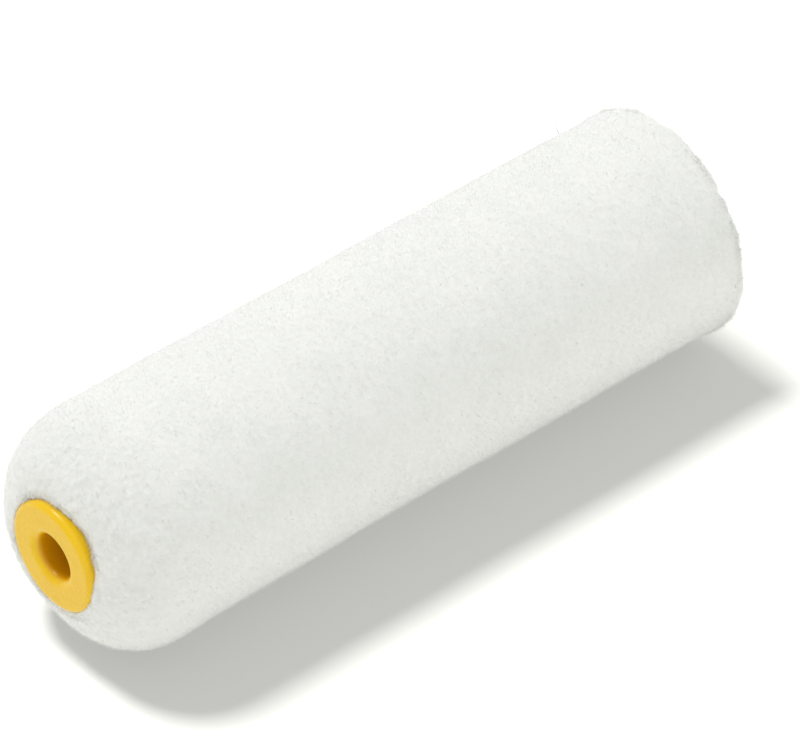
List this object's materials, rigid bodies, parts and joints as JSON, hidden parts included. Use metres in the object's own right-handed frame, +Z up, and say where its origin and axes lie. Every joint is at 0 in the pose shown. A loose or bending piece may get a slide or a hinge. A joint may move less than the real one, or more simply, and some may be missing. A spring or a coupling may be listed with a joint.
{
  "type": "mini paint roller sleeve",
  "caption": "Short foam paint roller sleeve with a white flocked pile, a domed end, a square-cut end and bored yellow end plugs.",
  "frame": {"origin": "on the roller's axis, halfway between the outer faces of the two end plugs", "axes": "+Y along the roller's axis, from the domed end to the square-cut end; +Z up, with the roller lying on its side"},
  "size_m": [0.035, 0.1112, 0.035],
  "materials": {
    "yellow_plastic": "glossy moulded",
    "core_plastic": "satin extruded",
    "adhesive": "dull film",
    "white_foam": "open-cell foam",
    "white_flock": "short upright pile"
  },
  "bodies": {
    "root": {"front_end_plug": "yellow_plastic", "rear_end_plug": "yellow_plastic", "core_tube": "core_plastic", "core_adhesive": "adhesive", "foam_sleeve": "white_foam", "flock_adhesive": "adhesive", "flock_pile": "white_flock"}
  },
  "joints": []
}
